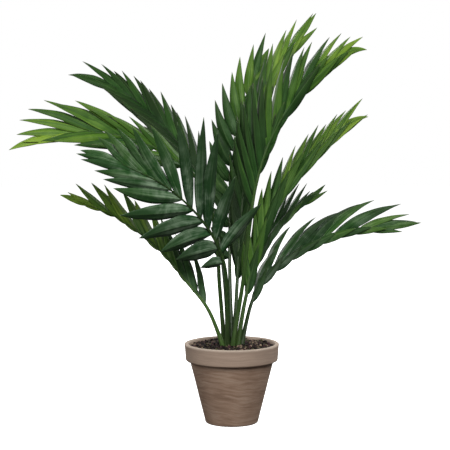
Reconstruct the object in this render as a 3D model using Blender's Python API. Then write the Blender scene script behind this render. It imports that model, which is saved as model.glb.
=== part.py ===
"""Potted palm: ten feathered fronds rising from one crown in a tapered clay pot.

Metres, +Z up. The origin is the middle of the pot's base, on the surface that the pot stands on.
Every frond is a stalk and a blade. A blade is a rachis with two rows of leaflets grown from it.
"""
from math import cos, floor, pi, radians, sin

import bmesh
import bpy
import numpy as np
from mathutils import Vector

# ---- driving dimensions ----
GAP = 0.0003
WALL_GAP = 0.00036
TURN_STEPS = 40
SHARP_DEGREES = 35
MERGE_DISTANCE = 1e-6

POT_HEIGHT = 0.115
POT_WALL = 0.006
RIM_RADIUS = 0.068
RIM_DEPTH = 0.025
RIM_TAPER = 0.0015
BODY_TOP_RADIUS = 0.0595
BASE_RADIUS = 0.0375
BASE_THICKNESS = 0.008
DRAIN_RADIUS = 0.008
EDGE = 0.002

TOPPING_TOP = 0.1085
TOPPING_DEPTH = 0.010
CROWN_TOP = 0.1122
CROWN_RADIUS = 0.0215
CROWN_TAPER = 0.003

STALK_RADII = (0.0028, 0.0021)
RACHIS_RADII = (0.0020, 0.0007)
STEM_SIDES = 5
STEM_STATIONS = 9
LEAF_THICKNESS = 0.0008
ROOT_DEPTH = 0.0005
# Shares of a frond's line: the rachis below its first leaflets, the last pair, the end leaflet
# and half the stretch that a direction is read over.
JOINT = 0.02
LAST_PAIR = 0.96
END_LEAFLET = 0.99
HEADING_REACH = 0.02
LINE_POINTS = 41
SEEDS_PER_FROND = 50
SEEDS_PER_ROW = 25
# Shares of a leaflet's length where its sections stand, and its share of full width along it.
LEAF_STATIONS = (0.0, 0.22, 0.58, 1.0)
LEAF_OUTLINE = ((0.0, 0.28), (0.10, 0.61), (0.25, 0.90), (0.40, 1.0), (0.60, 0.88),
                (0.80, 0.56), (0.92, 0.28), (1.0, 0.0))


def row(reach, spread, width, lift, droop=(0.0,), sweep=(0.1,), tilt=30, count=10, start=None):
    """One row of leaflets. reach and width are in metres, spread, lift and tilt in degrees.

    The right row is on the right-hand side for someone who looks from the frond's foot to its tip
    with the blade's face up. reach, spread, width, droop and sweep are read from the first leaflet
    to the last. spread opens a leaflet from the rachis, lift raises it over the blade's face, droop
    bends it down, sweep bends it towards the frond's tip and tilt turns it about its middle line."""
    return dict(reach=reach, spread=spread, width=width, lift=lift, droop=droop, sweep=sweep,
                tilt=tilt, count=count, start=start)


# Guide points run from the crown to the rachis's tip. face is the way the upper side looks,
# bare is the share of the line with no leaflets, and tip is the end leaflet's length and droop.
FRONDS = (
    dict(name="far_left", bare=0.56, jitter=0.6, tip=(0.070, 0.22),
         guides=((-0.0105, 0.000, 0.1135), (-0.0175, -0.006, 0.20), (-0.023, -0.020, 0.28),
                 (-0.046, -0.040, 0.35), (-0.100, -0.068, 0.395), (-0.170, -0.100, 0.418),
                 (-0.235, -0.130, 0.416)),
         face=((1.0, -0.6, 0.3), (0.4, -1.0, 0.6), (0.1, -1.0, 0.8)),
         right=row((0.085, 0.105, 0.118, 0.116, 0.098, 0.062), (6, 9, 16, 22, 25, 16),
                   (0.014, 0.018, 0.014), 20, (0.08, 0.12, 0.16), tilt=22, count=10),
         left=row((0.08, 0.105, 0.098, 0.06), (34, 33, 19, 4), (0.015, 0.016, 0.012), 20,
                  (0.02, 0.06, 0.06), tilt=22, count=8)),
    dict(name="upper_left", bare=0.50, jitter=0.6, tip=(0.085, 0.26),
         guides=((-0.005, 0.0055, 0.1135), (-0.010, 0.025, 0.20), (-0.022, 0.045, 0.28),
                 (-0.051, 0.085, 0.355), (-0.094, 0.130, 0.415), (-0.147, 0.170, 0.463),
                 (-0.187, 0.186, 0.487)),
         face=((1.0, -0.6, 0.3), (0.4, -1.0, 0.6), (0.2, -1.0, 0.8)),
         right=row((0.072, 0.082, 0.080, 0.064), (22, 21, 23, 17), (0.016, 0.020, 0.014), 15,
                   (0.10, 0.12, 0.20), (0.45,), count=12),
         left=row((0.085, 0.09, 0.09, 0.07), (30, 25, 20, 12), (0.014, 0.017, 0.012), 15,
                  (0.06, 0.03, 0.08))),
    dict(name="front_left", bare=0.31, jitter=0.3, tip=(0.072, 0.12),
         guides=((-0.0065, -0.010, 0.1135), (-0.007, -0.022, 0.18), (-0.0125, -0.042, 0.240),
                 (-0.040, -0.075, 0.296), (-0.088, -0.118, 0.346), (-0.147, -0.166, 0.380)),
         face=((0.3, -1.0, 0.2), (0.0, -1.0, 0.2), (-0.1, -1.0, 0.3)),
         right=row((0.097, 0.105, 0.163, 0.158, 0.133, 0.124, 0.114, 0.105, 0.092, 0.060),
                   (53, 38, 31, 37, 28, 19, 17, 20, 19, 15), (0.021, 0.019, 0.017, 0.013), 8,
                   (0.02,), (0.0,), 10, start=0.385),
         left=row((0.010, 0.064, 0.072, 0.092, 0.110, 0.116, 0.112, 0.108, 0.102, 0.088),
                  (84, 74, 72, 60, 47, 29, 23, 16, 9, 8),
                  (0.013, 0.033, 0.030, 0.023, 0.018, 0.014, 0.012), 8, (0.0,), (0.0,), 10,
                  count=10)),
    dict(name="low_left", bare=0.22, jitter=0.5, tip=(0.045, 0.10),
         guides=((-0.0125, -0.009, 0.1135), (-0.034, -0.013, 0.166), (-0.064, -0.015, 0.205),
                 (-0.103, -0.020, 0.252), (-0.157, -0.030, 0.295), (-0.203, -0.040, 0.318)),
         face=((1.0, -0.6, 0.3), (0.6, -0.8, 0.3), (0.3, -1.0, 0.4)),
         right=row((0.046, 0.062, 0.072, 0.078, 0.080, 0.075, 0.045),
                   (58, 34, 25, 23, 20, 11, 6), (0.020, 0.021, 0.019, 0.015, 0.010), 10, (0.0,),
                   (1.2, 0.5, 0.2, 0.0, 0.0, 0.0, 0.0), 20, count=11),
         left=row((0.05, 0.07, 0.065, 0.040), (18, 22, 14, 6), (0.013, 0.014, 0.009), -125,
                  tilt=20, count=8)),
    dict(name="centre_back", bare=0.27, jitter=0.5, tip=(0.050, 0.0),
         guides=((0.001, 0.010, 0.1135), (-0.002, 0.030, 0.18), (-0.003, 0.060, 0.26),
                 (-0.001, 0.090, 0.34), (0.007, 0.115, 0.41), (0.022, 0.140, 0.465),
                 (0.040, 0.160, 0.505)),
         face=((0.2, -1.0, 0.2), (0.2, -1.0, 0.4)),
         right=row((0.06, 0.075, 0.075, 0.05), (35, 28, 20, 15), (0.014, 0.017, 0.013), 25,
                   start=0.38),
         left=row((0.028, 0.034, 0.043, 0.050, 0.052, 0.050, 0.048), (82, 68, 61, 56, 47, 36, 18),
                  (0.016, 0.019, 0.013), 15, (0.0,), (0.1, 0.65, 0.75), count=13)),
    dict(name="tall_front", bare=0.44, jitter=0.6, tip=(0.072, 0.42),
         guides=((0.0015, -0.0085, 0.1135), (0.015, -0.018, 0.20), (0.023, -0.028, 0.27),
                 (0.034, -0.036, 0.345), (0.056, -0.044, 0.413), (0.091, -0.055, 0.470),
                 (0.136, -0.067, 0.515)),
         face=((-0.5, -1.0, 0.1), (-0.3, -1.0, 0.4)),
         right=row((0.080, 0.09, 0.085, 0.055), (0, 3, 8, 13), (0.015, 0.018, 0.012), 27,
                   (0.0, 0.02, 0.08), count=9, start=0.57),
         left=row((0.072, 0.080, 0.077, 0.070, 0.054), (36, 30, 26, 25, 17),
                  (0.016, 0.020, 0.013), 15, (0.0, 0.09, 0.36), (0.60,), count=14)),
    dict(name="tall_back", bare=0.20, jitter=0.5, tip=(0.074, 0.0),
         guides=((0.0035, 0.003, 0.1135), (0.008, 0.030, 0.20), (0.014, 0.058, 0.29),
                 (0.023, 0.082, 0.375), (0.040, 0.107, 0.45), (0.064, 0.130, 0.509),
                 (0.091, 0.150, 0.546)),
         face=((-0.5, -1.0, 0.1), (-0.3, -1.0, 0.4)),
         right=row((0.06, 0.08, 0.10, 0.09, 0.065), (14, 16, 15, 15, 24), (0.016, 0.018, 0.012),
                   20, count=12),
         left=row((0.050, 0.066, 0.066, 0.062, 0.056), (18, 21, 17, 10, 7), (0.016, 0.019, 0.012),
                  15, (0.0, 0.02, 0.05), (0.50,), count=14)),
    dict(name="mid_right", bare=0.20, jitter=0.5, tip=(0.066, 0.34),
         guides=((0.0085, -0.0035, 0.1135), (0.020, 0.004, 0.18), (0.032, 0.012, 0.235),
                 (0.051, 0.020, 0.290), (0.078, 0.030, 0.335), (0.116, 0.045, 0.380),
                 (0.158, 0.062, 0.420)),
         face=((-0.5, -1.0, 0.3), (-0.3, -1.0, 0.6)),
         right=row((0.06, 0.085, 0.09, 0.085, 0.058), (8, 9, 9, 9, 12), (0.016, 0.017, 0.012), 34,
                   (0.0, 0.05, 0.16), (0.3,), count=10),
         left=row((0.040, 0.054, 0.063, 0.064, 0.052), (28, 19, 18, 20, 19), (0.017, 0.020, 0.013),
                  15, (0.0, 0.06, 0.26), (0.65,), count=14)),
    dict(name="short_right", bare=0.42, jitter=0.5, tip=(0.050, -0.05),
         guides=((0.009, 0.0045, 0.1135), (0.018, 0.028, 0.165), (0.032, 0.055, 0.215),
                 (0.055, 0.093, 0.258), (0.088, 0.132, 0.292), (0.117, 0.163, 0.311)),
         face=((-0.5, -1.0, 0.3), (-0.3, -1.0, 0.6)),
         right=row((0.06, 0.07, 0.06, 0.05), (10, 8, 10, 12), (0.011, 0.012, 0.009), 20, count=8),
         left=row((0.06, 0.085, 0.105, 0.060, 0.035), (14, 8, 6, 4, 4), (0.011, 0.012, 0.009),
                  15, count=8)),
    dict(name="low_right", bare=0.19, jitter=0.4, tip=(0.082, 0.0),
         guides=((0.014, -0.001, 0.1135), (0.026, 0.008, 0.164), (0.036, 0.015, 0.187),
                 (0.056, 0.030, 0.212), (0.088, 0.050, 0.235), (0.135, 0.080, 0.257),
                 (0.180, 0.105, 0.268), (0.225, 0.130, 0.271)),
         face=((-0.5, -1.0, 0.3), (-0.3, -1.0, 0.5), (-0.1, -1.0, 0.5)),
         right=row((0.05, 0.06, 0.06, 0.055), (6, 5, 10, 18), (0.012, 0.015, 0.011), 30,
                   (0.0, 0.0, 0.05), count=9),
         left=row((0.080, 0.128, 0.146, 0.138, 0.124, 0.100, 0.072), (14, 21, 27, 30, 28, 24, 16),
                  (0.016, 0.016, 0.011), 8, (0.36, 0.36, 0.20), (0.26,), count=11)),
)


# ---- scene and materials ----
def clear_scene():
    for obj in list(bpy.data.objects):
        bpy.data.objects.remove(obj, do_unlink=True)


def material(name, colour, roughness):
    """A Principled material with no metal in it."""
    made = bpy.data.materials.new(name)
    made.use_nodes = True
    shader = made.node_tree.nodes["Principled BSDF"]
    shader.inputs["Base Color"].default_value = (*colour, 1.0)
    shader.inputs["Roughness"].default_value = roughness
    shader.inputs["Metallic"].default_value = 0.0
    made.diffuse_color = (*colour, 1.0)
    return made


def add_object(name, bm, finish):
    """Turn a bmesh into a named object with outward faces."""
    bmesh.ops.recalc_face_normals(bm, faces=bm.faces[:])
    mesh = bpy.data.meshes.new(name)
    bm.to_mesh(mesh)
    bm.free()
    mesh.materials.append(finish)
    obj = bpy.data.objects.new(name, mesh)
    bpy.context.collection.objects.link(obj)
    return obj


def turned(name, outline, finish):
    """A solid turned about Z from a closed outline of (radius, height) points."""
    bm = bmesh.new()
    points = [bm.verts.new((radius, 0.0, height)) for radius, height in outline]
    on_axis = outline[0][0] == 0.0 and outline[-1][0] == 0.0
    edges = [bm.edges.new(pair) for pair in zip(points, points[1:])]
    if not on_axis:
        edges.append(bm.edges.new((points[-1], points[0])))
    bmesh.ops.spin(bm, geom=points + edges, axis=(0, 0, 1), cent=(0, 0, 0), angle=2 * pi,
                   steps=TURN_STEPS, use_merge=True)
    bmesh.ops.remove_doubles(bm, verts=bm.verts[:], dist=MERGE_DISTANCE)
    obj = add_object(name, bm, finish)
    obj.data.shade_smooth()
    obj.data.set_sharp_from_angle(angle=radians(SHARP_DEGREES))
    return obj


# ---- lines and frames ----
def unit(vector):
    return vector / np.linalg.norm(vector)


def smooth_line(guides, count=LINE_POINTS, steps=16):
    """Evenly spaced points on a Catmull-Rom curve through the guide points."""
    known = np.array(guides)
    known = np.vstack([2 * known[0] - known[1], known, 2 * known[-1] - known[-2]])
    fine = []
    for before, here, there, after in zip(known, known[1:], known[2:], known[3:]):
        for t in np.arange(steps) / steps:
            fine.append(0.5 * (2 * here + (there - before) * t
                               + (2 * before - 5 * here + 4 * there - after) * t * t
                               + (3 * here - before - 3 * there + after) * t ** 3))
    fine = np.array(fine + [known[-2]])
    run = np.concatenate([[0.0], np.cumsum(np.linalg.norm(np.diff(fine, axis=0), axis=1))])
    even = np.linspace(0.0, run[-1], count)
    return np.column_stack([np.interp(even, run, fine[:, axis]) for axis in range(3)])


def length_of(line):
    return float(np.linalg.norm(np.diff(line, axis=0), axis=1).sum())


def knot(values, share):
    """A value between evenly spaced knots, numbers or vectors, at share 0 to 1."""
    values = np.array(values, dtype=float)
    if len(values) == 1:
        return values[0]
    place = min(max(share, 0.0), 1.0) * (len(values) - 1)
    index = min(int(place), len(values) - 2)
    return values[index] + (values[index + 1] - values[index]) * (place - index)


def heading(line, share):
    return unit(knot(line, share + HEADING_REACH) - knot(line, share - HEADING_REACH))


def frame_at(line, share, face):
    """The rachis's direction, the way the blade's face looks and the blade's right-hand direction."""
    along = heading(line, share)
    look = knot(face, share)
    normal = unit(look - along * np.dot(look, along))
    return along, normal, np.cross(along, normal)


def wobble(key, channel):
    """A repeatable value from -1 to 1."""
    value = sin(12.9898 * key + 78.233 * channel + 3.1) * 43758.5453
    return 2 * (value - floor(value)) - 1


# ---- lofted shapes ----
def loft(bm, rings, pointed=False):
    """A closed skin over rings of equal point counts, the last one optionally a point."""
    loops = [[bm.verts.new(point) for point in ring] for ring in rings]
    count = len(loops[0])
    for lower, upper in zip(loops, loops[1:]):
        for index in range(count):
            after = (index + 1) % count
            bm.faces.new((lower[index], lower[after], upper[after], upper[index]))
    bm.faces.new(loops[0][::-1])
    if pointed:
        middle = sum((vert.co for vert in loops[-1]), Vector()) / count
        bmesh.ops.pointmerge(bm, verts=loops[-1], merge_co=middle)
    else:
        bm.faces.new(loops[-1])
    bmesh.ops.triangulate(bm, faces=bm.faces[:])


def stem_rings(line, first, last, radii):
    """Round sections from share first to share last of the line."""
    rings = []
    for step in range(STEM_STATIONS):
        part = step / (STEM_STATIONS - 1)
        share = first + (last - first) * part
        centre = knot(line, share)
        along = heading(line, share)
        across = unit(np.cross(along, (0.0, 1.0, 0.0)))
        other = np.cross(along, across)
        radius = radii[0] + (radii[1] - radii[0]) * part
        ring = []
        for side in range(STEM_SIDES):
            angle = 2 * pi * side / STEM_SIDES
            ring.append(centre + radius * (cos(angle) * across + sin(angle) * other))
        rings.append(ring)
    return rings


def leaflet_rings(root, toward, normal, bend, length, width, tilt):
    """Flat diamond sections along a leaflet's bent middle line."""
    rings = []
    shares, fractions = zip(*LEAF_OUTLINE)
    for t in LEAF_STATIONS:
        centre = root + length * (toward * t + bend * t * t)
        along = unit(toward + 2 * bend * t)
        flat = unit(normal - along * np.dot(normal, along))
        across = cos(tilt) * np.cross(flat, along) + sin(tilt) * flat
        half = 0.5 * width * float(np.interp(t, shares, fractions))
        thick = 0.5 * LEAF_THICKNESS * unit(np.cross(along, across))
        rings.append([centre + across * half, centre + thick,
                      centre - across * half, centre - thick])
    return rings


def leaflets(frond, line, seed):
    """Yield the rings of every leaflet of one frond. The rows stand half a step apart.

    seed keeps the small differences between leaflets the same in every run."""
    for row_name, side in (("right", 1), ("left", -1)):
        spec = frond[row_name]
        start = frond["bare"] if spec["start"] is None else spec["start"]
        for index in range(spec["count"]):
            place = (index + (0.0 if side > 0 else 0.5)) / (spec["count"] - 0.5)
            share = start + (LAST_PAIR - start) * place
            along, normal, across = frame_at(line, share, frond["face"])
            key = SEEDS_PER_FROND * seed + index + (SEEDS_PER_ROW if side < 0 else 0)
            shift = [wobble(key, channel) for channel in range(5)]
            jitter = frond["jitter"]
            length = knot(spec["reach"], place) * (1 + 0.10 * shift[0] * jitter)
            spread = radians(knot(spec["spread"], place) + 5 * shift[1] * jitter)
            lift = radians(spec["lift"] + 6 * shift[2] * jitter)
            outward = cos(lift) * side * across + sin(lift) * normal
            toward = cos(spread) * along + sin(spread) * outward
            facing = cos(lift) * normal - sin(lift) * side * across
            droop = knot(spec["droop"], place) * (1 + 0.3 * shift[3])
            bend = knot(spec["sweep"], place) * along - droop * np.array((0.0, 0.0, 1.0))
            tilt = side * radians(spec["tilt"] + 10 * shift[4] * jitter)
            root = knot(line, share) - ROOT_DEPTH * toward
            yield leaflet_rings(root, toward, facing, bend, length, knot(spec["width"], place),
                                tilt)
    along, normal, _ = frame_at(line, 1.0, frond["face"])
    length, droop = frond["tip"]
    bend = np.array((0.0, 0.0, -droop))
    yield leaflet_rings(knot(line, END_LEAFLET), along, normal, bend, length,
                        frond["right"]["width"][-1], 0.0)


# ---- pieces ----
def make_pot(finish):
    inner_top = RIM_RADIUS - POT_WALL
    inner_base = BASE_RADIUS - POT_WALL
    band_foot = POT_HEIGHT - RIM_DEPTH
    outline = ((DRAIN_RADIUS, 0.0), (BASE_RADIUS - EDGE, 0.0), (BASE_RADIUS, EDGE),
               (BODY_TOP_RADIUS, band_foot - EDGE),
               (RIM_RADIUS - RIM_TAPER - EDGE, band_foot), (RIM_RADIUS - RIM_TAPER, band_foot + EDGE),
               (RIM_RADIUS, POT_HEIGHT - EDGE), (RIM_RADIUS - EDGE, POT_HEIGHT),
               (inner_top + EDGE, POT_HEIGHT), (inner_top, POT_HEIGHT - EDGE),
               (inner_base, BASE_THICKNESS), (DRAIN_RADIUS, BASE_THICKNESS))
    return turned("pot", outline, finish)


def inner_radius(height):
    """The pot's inside radius at a height, less the gap."""
    foot, top = BASE_THICKNESS, POT_HEIGHT - EDGE
    inner_base = BASE_RADIUS - POT_WALL
    slope = (RIM_RADIUS - POT_WALL - inner_base) / (top - foot)
    return inner_base + slope * (height - foot) - WALL_GAP


def make_soil(finish):
    low = BASE_THICKNESS + GAP
    high = TOPPING_TOP - TOPPING_DEPTH - GAP
    outline = ((0.0, high), (inner_radius(high), high), (inner_radius(low), low), (0.0, low))
    return turned("potting_mix", outline, finish)


def make_topping(finish):
    low = TOPPING_TOP - TOPPING_DEPTH
    hole = CROWN_RADIUS + GAP
    outline = ((inner_radius(TOPPING_TOP), TOPPING_TOP), (inner_radius(low), low),
               (hole, low), (hole, TOPPING_TOP))
    return turned("granule_topping", outline, finish)


def make_crown(finish):
    low = TOPPING_TOP - TOPPING_DEPTH
    outline = ((0.0, CROWN_TOP), (CROWN_RADIUS - CROWN_TAPER, CROWN_TOP),
               (CROWN_RADIUS, CROWN_TOP - CROWN_TAPER), (CROWN_RADIUS, low), (0.0, low))
    return turned("crown", outline, finish)


def make_frond(frond, seed, stalk_finish, blade_finish):
    line = smooth_line(frond["guides"])
    joint = frond["bare"] - JOINT
    gap = GAP / length_of(line)

    stalk = bmesh.new()
    loft(stalk, stem_rings(line, 0.0, joint - gap, STALK_RADII))
    add_object("stalk_" + frond["name"], stalk, stalk_finish)

    rachis = bmesh.new()
    loft(rachis, stem_rings(line, joint, 1.0, RACHIS_RADII))
    blade = add_object("blade_" + frond["name"], rachis, blade_finish)

    fans = bmesh.new()
    for rings in leaflets(frond, line, seed):
        loft(fans, rings, pointed=True)
    leaves = add_object("leaflets_" + frond["name"], fans, blade_finish)
    leaves.hide_render = True
    leaves.display_type = "WIRE"

    grown = blade.modifiers.new("grown together", "BOOLEAN")
    grown.operation = "UNION"
    grown.solver = "EXACT"
    grown.use_self = True
    grown.object = leaves


def main():
    clear_scene()
    make_pot(material("clay", (0.20, 0.14, 0.10), 0.9))
    make_soil(material("soil", (0.05, 0.035, 0.025), 1.0))
    make_topping(material("granules", (0.12, 0.08, 0.07), 0.9))
    stalk_finish = material("stalk_green", (0.06, 0.10, 0.03), 0.5)
    make_crown(stalk_finish)
    blade_finish = material("leaf_green", (0.04, 0.10, 0.03), 0.45)
    for seed, frond in enumerate(FRONDS):
        make_frond(frond, seed, stalk_finish, blade_finish)


if __name__ == "__main__":
    main()
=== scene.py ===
"""Potted palm: the finished surfaces of a small feather palm in a tapered clay pot.

Metres, +Z up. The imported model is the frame: the pot, the soil, the stalks and the blades here stand
where its nodes stand. Each frond keeps the guide points and the leaflet rows of its node.
"""
from math import cos, exp, floor, pi, radians, sin, tan
from random import Random

import bmesh
import bpy
import numpy as np
from bpy.props import FloatProperty, FloatVectorProperty, PointerProperty
from mathutils import Matrix, Vector, noise


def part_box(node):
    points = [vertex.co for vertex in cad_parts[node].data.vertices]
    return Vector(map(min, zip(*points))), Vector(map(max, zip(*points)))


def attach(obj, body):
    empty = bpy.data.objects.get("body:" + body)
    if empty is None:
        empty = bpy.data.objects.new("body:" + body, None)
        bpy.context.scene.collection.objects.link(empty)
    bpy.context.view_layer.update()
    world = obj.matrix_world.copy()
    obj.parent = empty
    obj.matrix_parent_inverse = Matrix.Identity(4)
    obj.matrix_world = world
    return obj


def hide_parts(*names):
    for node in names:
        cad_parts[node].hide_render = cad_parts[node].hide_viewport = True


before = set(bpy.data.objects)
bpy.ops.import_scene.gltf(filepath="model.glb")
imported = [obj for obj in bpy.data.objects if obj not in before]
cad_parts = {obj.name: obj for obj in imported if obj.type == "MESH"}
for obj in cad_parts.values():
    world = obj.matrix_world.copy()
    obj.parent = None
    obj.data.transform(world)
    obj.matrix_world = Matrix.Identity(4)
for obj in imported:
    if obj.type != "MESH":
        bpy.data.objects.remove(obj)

bl_info = {
    "name": "Potted palm",
    "version": (1, 0, 0),
    "blender": (4, 5, 0),
    "location": "View3D > Sidebar > Palm",
    "description": "Builds a small feather palm in a clay pot around its packed frame",
    "category": "Object",
}

_, POT_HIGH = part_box("pot")
TOPPING_LOW, TOPPING_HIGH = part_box("granule_topping")
CROWN_LOW, CROWN_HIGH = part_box("crown")


# ---- the fronds ----
def row(reach, spread, width, lift, droop=(0.0,), sweep=(0.1,), tilt=30, count=10, start=None):
    """One row of leaflets. reach and width are in metres, spread, lift and tilt in degrees.

    The right row is on the right-hand side for someone who looks from the frond's foot to its tip
    with the blade's face up. reach, spread, width, droop and sweep are read from the first leaflet
    to the last. spread opens a leaflet from the rachis, lift raises it over the blade's face, droop
    bends it down, sweep bends it towards the frond's tip and tilt turns it about its middle line."""
    return dict(reach=reach, spread=spread, width=width, lift=lift, droop=droop, sweep=sweep,
                tilt=tilt, count=count, start=start)


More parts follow.
